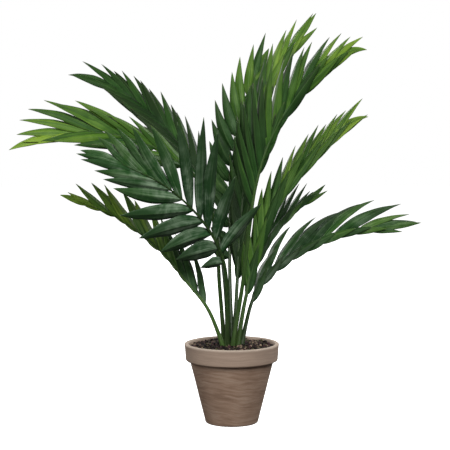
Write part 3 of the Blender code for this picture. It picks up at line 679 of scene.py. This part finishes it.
def make_crown(look):
    """The fibrous mound that the stalks rise from."""
    foot = CROWN_HIGH.x - CROWN_INSET
    fall = CROWN_HIGH.z - TOPPING_HIGH.z + 0.001
    outline = [(0.0, CROWN_HIGH.z)]
    for step in range(1, CROWN_RINGS + 1):
        share = step / CROWN_RINGS
        outline.append((foot * share, CROWN_HIGH.z - fall * share ** 2))
    outline += [(foot, CROWN_LOW.z), (0.0, CROWN_LOW.z)]
    bm = spun(outline, CROWN_STEPS)
    for vert in bm.verts:
        if vert.co.z > TOPPING_HIGH.z - 0.002:
            vert.co.z -= CROWN_UNEVENNESS * (1.0 + noise.noise(vert.co * 240.0))
    finished("crown_mound", bm, [fibre_finish(look)], "stalk_green", "crown")


def finish_potting_mix(look):
    """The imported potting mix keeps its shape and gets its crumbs."""
    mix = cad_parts["potting_mix"]
    for slot in mix.material_slots:
        slot.material = crumb_finish(look)


# ---- stalks ----
STALK_SIDES, STALK_STATIONS = 14, 72
# The swelling at the foot as a share of the radius, how fast it fades along the line, and the
# depth of the groove in the upper side as a share of the radius.
FOOT_SWELLING, SWELLING_FADE, GROOVE = 0.45, 26.0, 0.30
SHADE_CHANNEL = 9


def stem_radius(look, line_share, bare):
    """A stalk swells at its foot and thins along the rachis."""
    if line_share < bare:
        part = line_share / bare
        radius = look.foot_radius + (look.stalk_radius - look.foot_radius) * part
        return radius * (1.0 + FOOT_SWELLING * exp(-line_share * SWELLING_FADE))
    part = (line_share - bare) / (1.0 - bare)
    return look.stalk_radius + (look.tip_radius - look.stalk_radius) * part ** 0.8


def make_stalk(frond, seed, look, finish):
    """A grooved stalk that runs on as the rachis, from the crown to the frond's tip."""
    line = smooth_line(frond["guides"])
    bm = bmesh.new()
    tone = bm.verts.layers.float_color.new("tone")
    dark = 0.5 + 0.5 * wobble(seed, SHADE_CHANNEL)
    previous = None
    for station in range(-1, STALK_STATIONS + 1):
        share = max(station, 0) / STALK_STATIONS
        along, normal, across = frame_at(line, share, frond["face"])
        centre = knot(line, share)
        if station < 0:
            centre = centre - along * look.sunk
        radius = stem_radius(look, share, frond["bare"])
        turn = Matrix((across, normal, along)).transposed().to_4x4()
        ring = bmesh.ops.create_circle(bm, segments=STALK_SIDES, radius=radius,
                                       matrix=Matrix.Translation(Vector(centre)) @ turn)["verts"]
        for vert in ring:
            offset = vert.co - Vector(centre)
            upward = max(0.0, offset.normalized().dot(Vector(normal)))
            vert.co -= offset * GROOVE * upward ** 3
            vert[tone] = (frond["fresh_and_lit"], dark, share, 1.0)
        edges = list({edge for vert in ring for edge in vert.link_edges})
        if previous:
            bmesh.ops.bridge_loops(bm, edges=previous + edges)
        else:
            bmesh.ops.contextual_create(bm, geom=edges)
        previous = edges
    bmesh.ops.pointmerge(bm, verts=ring, merge_co=Vector(centre))
    bmesh.ops.recalc_face_normals(bm, faces=bm.faces[:])
    name = frond["name"]
    finished("stem_" + name, bm, [finish], "stalk_green", "stalk_" + name)


# ---- leaves ----
LEAF_LENGTHWAYS = 20
# Where a leaflet's lengthwise creases run, from its left edge at -1 to its right edge at 1.
LEAF_CREASES = (-1.0, -0.62, -0.13, 0.0, 0.13, 0.62, 1.0)
# How far chance may change a leaflet: its length and droop as shares, the rest in degrees.
LENGTH_CHANCE, DROOP_CHANCE = 0.10, 0.3
SPREAD_CHANCE, LIFT_CHANCE, TILT_CHANCE, FOLD_CHANCE = 5.0, 6.0, 10.0, 7.0
# Shares of a leaflet's length: where its twist is nought. Its fold eases from the base to the tip.
UNTWISTED = 0.35
FOLD_AT_BASE, FOLD_EASE = 1.25, 0.75
RIPPLES, RIPPLE_START = 17.0, 9.0


def leaflets(frond, line, seed):
    """Yield every leaflet of one frond as a dict of its middle line and its turn."""
    for row_name, side in (("right", 1), ("left", -1)):
        spec = frond[row_name]
        start = frond["bare"] if spec["start"] is None else spec["start"]
        for index in range(spec["count"]):
            place = (index + (0.0 if side > 0 else 0.5)) / (spec["count"] - 0.5)
            share = start + (LAST_PAIR - start) * place
            along, normal, across = frame_at(line, share, frond["face"])
            key = SEEDS_PER_FROND * seed + index + (SEEDS_PER_ROW if side < 0 else 0)
            shift = [wobble(key, channel) for channel in range(9)]
            jitter = frond["jitter"]
            length = knot(spec["reach"], place) * (1 + LENGTH_CHANCE * shift[0] * jitter)
            spread = radians(knot(spec["spread"], place) + SPREAD_CHANCE * shift[1] * jitter)
            lift = radians(spec["lift"] + LIFT_CHANCE * shift[2] * jitter)
            outward = cos(lift) * side * across + sin(lift) * normal
            toward = cos(spread) * along + sin(spread) * outward
            facing = cos(lift) * normal - sin(lift) * side * across
            droop = knot(spec["droop"], place) * (1 + DROOP_CHANCE * shift[3])
            bend = knot(spec["sweep"], place) * along - droop * np.array((0.0, 0.0, 1.0))
            tilt = side * radians(spec["tilt"] + TILT_CHANCE * shift[4] * jitter)
            yield dict(root=knot(line, share), toward=toward, facing=facing, bend=bend, place=place,
                       length=length, width=knot(spec["width"], place), tilt=tilt, shift=shift[5:])
    along, normal, _ = frame_at(line, 1.0, frond["face"])
    length, droop = frond["tip"]
    yield dict(root=knot(line, END_LEAFLET), toward=along, facing=normal,
               bend=np.array((0.0, 0.0, -droop)), place=1.0, length=length,
               width=frond["right"]["width"][-1], tilt=0.0, shift=[0.0, 0.0, 0.0, 0.0])


def leaf_width(t):
    """A leaflet's share of its full width from base to tip."""
    return max(sin(pi * (0.05 + 0.95 * t ** 0.78)), 0.0) ** 0.9


def leaf_rows(leaf, look):
    """For every step along a leaflet: its middle, its sideways and upward directions and half width."""
    bend_chance, fold_chance, twist_chance, _ = leaf["shift"]
    rows = []
    for step in range(LEAF_LENGTHWAYS + 1):
        t = step / LEAF_LENGTHWAYS
        along = unit(leaf["toward"] + 2 * leaf["bend"] * t)
        flat = unit(leaf["facing"] - along * np.dot(leaf["facing"], along))
        side = np.cross(flat, along)
        turn = leaf["tilt"] + look.twist * twist_chance * (t - UNTWISTED)
        across = cos(turn) * side + sin(turn) * flat
        upward = cos(turn) * flat - sin(turn) * side
        middle = leaf["root"] + leaf["length"] * (leaf["toward"] * t + leaf["bend"] * t * t)
        middle = middle + side * look.sway * bend_chance * leaf["length"] * sin(pi * t)
        fold = (look.fold + radians(FOLD_CHANCE) * fold_chance) * (FOLD_AT_BASE - FOLD_EASE * t)
        half = 0.5 * leaf["width"] * leaf_width(t)
        rows.append((t, middle, across * half, upward * half, tan(fold)))
    return rows


def add_leaflet(bm, layers, leaf, look, frond):
    """One leaflet from a flat grid: bent and creased along its middle line and drawn to a point."""
    tone, uv = layers
    colour_chance = leaf["shift"][3]
    # Painted light along the frond: first leaflets, near the crown, painted darker as shade, last ones
    # brighter as lit.
    freshness_and_light = min(max(frond["fresh_and_lit"] + look.base_shade_tip_light * (leaf["place"] - 0.5), 0.0), 1.0)
    rows = leaf_rows(leaf, look)
    made = bmesh.ops.create_grid(bm, x_segments=len(LEAF_CREASES) - 1, y_segments=LEAF_LENGTHWAYS,
                                 size=0.5)["verts"]
    tip = []
    for vert in made:
        crease = LEAF_CREASES[round((vert.co.x + 0.5) * (len(LEAF_CREASES) - 1))]
        t, middle, across, upward, steep = rows[round((vert.co.y + 0.5) * LEAF_LENGTHWAYS)]
        ripple = look.ripple * sin(RIPPLES * t + RIPPLE_START * colour_chance) * crease * crease
        raised = look.midrib_rise * (1.0 - t) if crease == 0.0 else 0.0
        spot = middle + across * crease + upward * (ripple + raised - steep * abs(crease))
        for loop in vert.link_loops:
            loop[uv].uv = (0.5 + 0.5 * crease, t)
        vert[tone] = (freshness_and_light, 0.5 + 0.5 * colour_chance, t, frond["blue_and_sheen"])
        vert.co = spot
        if t == 1.0:
            tip.append(vert)
    bmesh.ops.pointmerge(bm, verts=tip, merge_co=tip[len(tip) // 2].co)


def make_blade(frond, seed, look, finishes):
    """All the leaflets of one frond as one piece, with a thin wall."""
    line = smooth_line(frond["guides"])
    bm = bmesh.new()
    layers = bm.verts.layers.float_color.new("tone"), bm.loops.layers.uv.new("leaf")
    for leaf in leaflets(frond, line, seed):
        add_leaflet(bm, layers, leaf, look, frond)
    name = frond["name"]
    blade = finished("leaves_" + name, bm, finishes, "leaf_green", "blade_" + name)
    wall = blade.modifiers.new("leaf thickness", "SOLIDIFY")
    wall.thickness = look.thickness
    wall.offset = 0.0
    wall.material_offset = 1


# ---- stage ----
LAMP_AIM = (0.0, 0.0, 0.3)
WHITE = (1.0, 1.0, 1.0, 1.0)


def area_light(name, place, size, power):
    """A soft round lamp that looks at the middle of the plant."""
    light = bpy.data.lights.new(name, "AREA")
    light.shape = "DISK"
    light.size = size
    light.energy = power
    lamp = placed(name, light)
    lamp.location = place
    lamp.rotation_euler = (Vector(LAMP_AIM) - Vector(place)).to_track_quat("-Z", "Y").to_euler()


def make_floor(look):
    bm = bmesh.new()
    bmesh.ops.create_circle(bm, cap_ends=True, segments=96, radius=look.floor_radius)
    pale = Finish("pale_floor", 0.8, specular=0.1)
    cloud = pale.noise(pale.place(), 3.0, 2.0)
    pale.colour(pale.mixed(cloud * 0.05, look.floor_colour, look.floor_shade))
    pale.shader.inputs["Emission Color"].default_value = WHITE
    pale.shader.inputs["Emission Strength"].default_value = look.floor_glow
    floor = meshed("floor", bm, [pale.material])
    floor.visible_diffuse = False
    floor.visible_glossy = False


def make_sky(look):
    """An even light all round, dimmer than the plain white that is seen."""
    world = bpy.data.worlds.new("studio")
    world.use_nodes = True
    nodes, links = world.node_tree.nodes, world.node_tree.links
    background = nodes["Background"]
    seen = nodes.new("ShaderNodeLightPath").outputs["Is Camera Ray"]
    strength = nodes.new("ShaderNodeMapRange")
    strength.inputs["To Min"].default_value = look.sky_light
    strength.inputs["To Max"].default_value = 1.0
    links.new(seen, strength.inputs["Value"])
    links.new(strength.outputs[0], background.inputs["Strength"])
    background.inputs["Color"].default_value = WHITE
    bpy.context.scene.world = world


def make_camera(look):
    camera = bpy.data.cameras.new("viewer")
    camera.lens = look.lens
    camera.sensor_width = 36.0
    eye = placed("viewer", camera)
    eye.location = (look.eye_x, -look.eye_distance, look.eye_height)
    eye.rotation_euler = (pi / 2 - look.eye_pitch, 0.0, 0.0)
    bpy.context.scene.camera = eye


# ---- settings ----
def length(name, description, default):
    return FloatProperty(name=name, description=description, default=default, min=0.0, unit="LENGTH",
                         precision=4)


def angle(name, description, degrees):
    return FloatProperty(name=name, description=description, default=radians(degrees),
                         subtype="ANGLE")


def amount(name, description, default):
    return FloatProperty(name=name, description=description, default=default, min=0.0, max=1.0,
                         subtype="FACTOR")


def power(name, description, default):
    return FloatProperty(name=name, description=description, default=default, min=0.0, unit="POWER")


def colour(name, description, default):
    return FloatVectorProperty(name=name, description=description, default=default, size=3,
                               min=0.0, max=1.0, subtype="COLOR")


class PotLook(bpy.types.PropertyGroup):
    rim_depth: length("Rim depth", "Height of the thick band at the pot's top", 0.025)
    rim_taper: length("Rim taper", "How much narrower the band is at its foot", 0.0015)
    wall: length("Wall", "Thickness of the pot's wall", 0.006)
    body_top_radius: length("Body top radius", "Radius of the body where it meets the band", 0.0605)
    base_radius: length("Base radius", "Radius of the pot's foot", 0.0385)
    base_thickness: length("Base thickness", "Thickness of the pot's floor", 0.008)
    drain_radius: length("Drainage radius", "Radius of the hole in the pot's floor", 0.008)
    clay: colour("Clay", "Main colour of the fired clay", (0.210, 0.137, 0.095))
    # The dark clay is the darker marbling and also the painted shade under the rim.
    clay_dark_and_shade: colour("Dark clay", "Colour of the darker marbling", (0.140, 0.086, 0.056))
    clay_light: colour("Light clay", "Colour of the paler marbling", (0.260, 0.185, 0.135))
    rim_colour: colour("Rim", "Colour that the rim fades to", (0.272, 0.212, 0.168))
    lip_colour: colour("Lip", "Colour of the worn lip", (0.320, 0.265, 0.215))


class SoilLook(bpy.types.PropertyGroup):
    # Painted shade in the hollows between the crumbs.
    crumb_hollow_shade: colour("Dark crumb", "Hollows between the crumbs", (0.004, 0.003, 0.002))
    granule_radius: length("Granule radius", "Usual radius of a granule", 0.0022)
    granule_dark: colour("Dark granule", "Darkest granules", (0.003, 0.0018, 0.0013))
    granule_brown: colour("Brown granule", "Usual granules", (0.019, 0.010, 0.007))
    granule_pale: colour("Pale granule", "Palest granules", (0.215, 0.160, 0.108))
    granule_mauve: colour("Mauve granule", "Granules with a purple cast", (0.036, 0.016, 0.018))
    granule_olive: colour("Olive granule", "Granules with a green cast", (0.044, 0.044, 0.018))
    fibre_dark: colour("Dark fibre", "Dark strands of the crown", (0.020, 0.014, 0.008))
    fibre_light: colour("Light fibre", "Light strands of the crown", (0.080, 0.070, 0.035))


class StalkLook(bpy.types.PropertyGroup):
    sunk: length("Sunk", "How far a stalk's foot reaches down into the crown", 0.004)
    foot_radius: length("Foot radius", "Radius of a stalk above its swollen foot", 0.0032)
    stalk_radius: length("Top radius", "Radius where the leaflets begin", 0.0026)
    tip_radius: length("Tip radius", "Radius at the frond's tip", 0.0006)
    stalk_deep: colour("Deep green", "Darkest stalk green", (0.006, 0.018, 0.004))
    stalk_green: colour("Stalk green", "Usual stalk green", (0.042, 0.098, 0.014))
    stalk_pale: colour("Pale green", "Streaks on a stalk", (0.080, 0.135, 0.032))
    stalk_brown: colour("Stalk brown", "Brown towards the foot", (0.030, 0.026, 0.014))


class LeafLook(bpy.types.PropertyGroup):
    thickness: length("Thickness", "Thickness of a leaflet", 0.0005)
    midrib_rise: amount("Midrib rise", "Height of the midrib, in half widths", 0.06)
    ripple: amount("Ripple", "Height of the edge's ripples, in half widths", 0.05)
    sway: amount("Sway", "Sideways bend, as a share of the length", 0.025)
    twist: angle("Twist", "Most that a leaflet turns from base to tip", 14.0)
    fold: angle("Fold", "How far each half of a leaflet leans below flat", 23.0)
    # Painted light along a frond: how much darker its first leaflets are painted, as shade, and brighter
    # its last, as lit.
    base_shade_tip_light: amount("Tip freshness", "How much fresher the last leaflets are than the first", 0.60)
    # How strongly the painted sheen, a pale highlight, is laid on the waxy leaflets.
    painted_sheen: amount("Bloom", "Strength of the pale bloom on waxy leaflets", 0.90)
    # The deepest green is the ramp's darkest leaf colour and also the painted shade at leaflet bases and
    # edges.
    leaf_deep_and_shade: colour("Deep leaf", "Deepest blue green", (0.0022, 0.0130, 0.0040))
    leaf_blue: colour("Waxy leaf", "Blue green of the waxy leaflets", (0.012, 0.060, 0.022))
    leaf_green: colour("Green leaf", "Usual green", (0.010, 0.046, 0.007))
    leaf_fresh: colour("Fresh leaf", "Fresher green", (0.054, 0.126, 0.012))
    # The yellow green is reached where painted light brightens a frond, mostly on lit, glowing fronds
    # and their last leaflets.
    leaf_yellow: colour("Yellow leaf", "Yellow green of the youngest leaflets", (0.180, 0.285, 0.026))
    leaf_midrib: colour("Midrib", "Colour of the midrib", (0.070, 0.120, 0.040))
    leaf_tip: colour("Leaf tip", "Colour of a leaflet's dry tip", (0.090, 0.080, 0.040))
    # Colour of the painted sheen, a pale highlight.
    leaf_sheen_colour: colour("Leaf bloom", "Pale bloom on the leaflets", (0.190, 0.255, 0.180))
    leaf_under: colour("Underside", "Pale cast of the underside", (0.048, 0.100, 0.020))
    leaf_brown: colour("Old leaf", "Brownish cast towards an underside's tip", (0.060, 0.055, 0.028))


class StageLook(bpy.types.PropertyGroup):
    floor_radius: length("Floor radius", "Radius of the floor", 6.0)
    floor_colour: colour("Floor", "Colour of the floor", (0.90, 0.90, 0.90))
    floor_shade: colour("Floor shade", "Colour of the floor's faint clouds", (0.80, 0.80, 0.80))
    floor_glow: amount("Floor glow", "Light that the floor gives off", 0.95)
    sky_light: amount("Sky", "Strength of the even light all round", 0.14)
    key_power: power("Key", "Power of the main lamp", 80.0)
    fill_power: power("Fill", "Power of the lamp on the other side", 20.0)
    rear_power: power("Rear", "Power of each of the two lamps behind", 38.0)
    lens: FloatProperty(name="Lens", description="Focal length", default=118.0, unit="CAMERA")
    eye_x: FloatProperty(name="Eye across", description="Camera's place across", default=-0.0097,
                         unit="LENGTH", precision=4)
    eye_distance: length("Eye distance", "Camera's distance in front of the pot's axis", 2.1)
    eye_height: length("Eye height", "Camera's height over the floor", 0.46)
    eye_pitch: angle("Eye pitch", "How far the camera looks down", 4.76)


# ---- operators ----
class PALM_OT_pot(bpy.types.Operator):
    """Turn the clay pot with its thick rim and worn lip"""
    bl_idname = "palm.pot"
    bl_label = "Clay pot"

    def execute(self, context):
        make_pot(context.scene.palm_pot)
        return {"FINISHED"}


class PALM_OT_soil(bpy.types.Operator):
    """Fill the pot: potting mix, bed, loose granules and crown"""
    bl_idname = "palm.soil"
    bl_label = "Soil and granules"

    def execute(self, context):
        look = context.scene.palm_soil
        finish_potting_mix(look)
        make_bed(look)
        make_granules(look)
        make_crown(look)
        return {"FINISHED"}


class PALM_OT_stalks(bpy.types.Operator):
    """Raise every stalk from the crown and run it on as the rachis"""
    bl_idname = "palm.stalks"
    bl_label = "Stalks"

    def execute(self, context):
        look = context.scene.palm_stalk
        finish = stalk_finish(look)
        for seed, frond in enumerate(FRONDS):
            make_stalk(frond, seed, look, finish)
        return {"FINISHED"}


class PALM_OT_leaves(bpy.types.Operator):
    """Grow the leaflets of every frond"""
    bl_idname = "palm.leaves"
    bl_label = "Leaves"

    def execute(self, context):
        look = context.scene.palm_leaf
        finishes = [leaf_finish(look, "leaf_upper", False), leaf_finish(look, "leaf_underside", True)]
        for seed, frond in enumerate(FRONDS):
            make_blade(frond, seed, look, finishes)
        return {"FINISHED"}


class PALM_OT_stage(bpy.types.Operator):
    """Set the floor, the soft lamps and the camera"""
    bl_idname = "palm.stage"
    bl_label = "Stage"

    def execute(self, context):
        look = context.scene.palm_stage
        make_floor(look)
        make_sky(look)
        context.scene.view_settings.view_transform = "Standard"
        area_light("key", (0.45, -1.9, 1.7), 1.4, look.key_power)
        area_light("fill", (-1.6, -1.2, 1.0), 1.2, look.fill_power)
        area_light("rear_left", (-1.1, 1.9, 1.3), 1.4, look.rear_power)
        area_light("rear_right", (1.6, 1.3, 1.3), 1.4, look.rear_power)
        make_camera(look)
        return {"FINISHED"}


class PALM_PT_sidebar(bpy.types.Panel):
    """The palm's makers and settings"""
    bl_label = "Potted palm"
    bl_space_type = "VIEW_3D"
    bl_region_type = "UI"
    bl_category = "Palm"

    def draw(self, context):
        for group, _, operator in SECTIONS:
            box = self.layout.box()
            box.operator(operator.bl_idname)
            look = getattr(context.scene, group)
            for name in look.__annotations__:
                box.prop(look, name)


# Every group of settings: its name on the scene, its properties and the operator that reads it.
SECTIONS = (("palm_pot", PotLook, PALM_OT_pot), ("palm_soil", SoilLook, PALM_OT_soil),
            ("palm_stalk", StalkLook, PALM_OT_stalks), ("palm_leaf", LeafLook, PALM_OT_leaves),
            ("palm_stage", StageLook, PALM_OT_stage))


def register():
    for group, look, operator in SECTIONS:
        bpy.utils.register_class(look)
        bpy.utils.register_class(operator)
        setattr(bpy.types.Scene, group, PointerProperty(type=look))
    bpy.utils.register_class(PALM_PT_sidebar)


def unregister():
    bpy.utils.unregister_class(PALM_PT_sidebar)
    for group, look, operator in SECTIONS:
        delattr(bpy.types.Scene, group)
        bpy.utils.unregister_class(operator)
        bpy.utils.unregister_class(look)


def main():
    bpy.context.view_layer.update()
    register()
    bpy.ops.palm.pot()
    bpy.ops.palm.soil()
    bpy.ops.palm.stalks()
    bpy.ops.palm.leaves()
    bpy.ops.palm.stage()


if __name__ == "__main__":
    main()
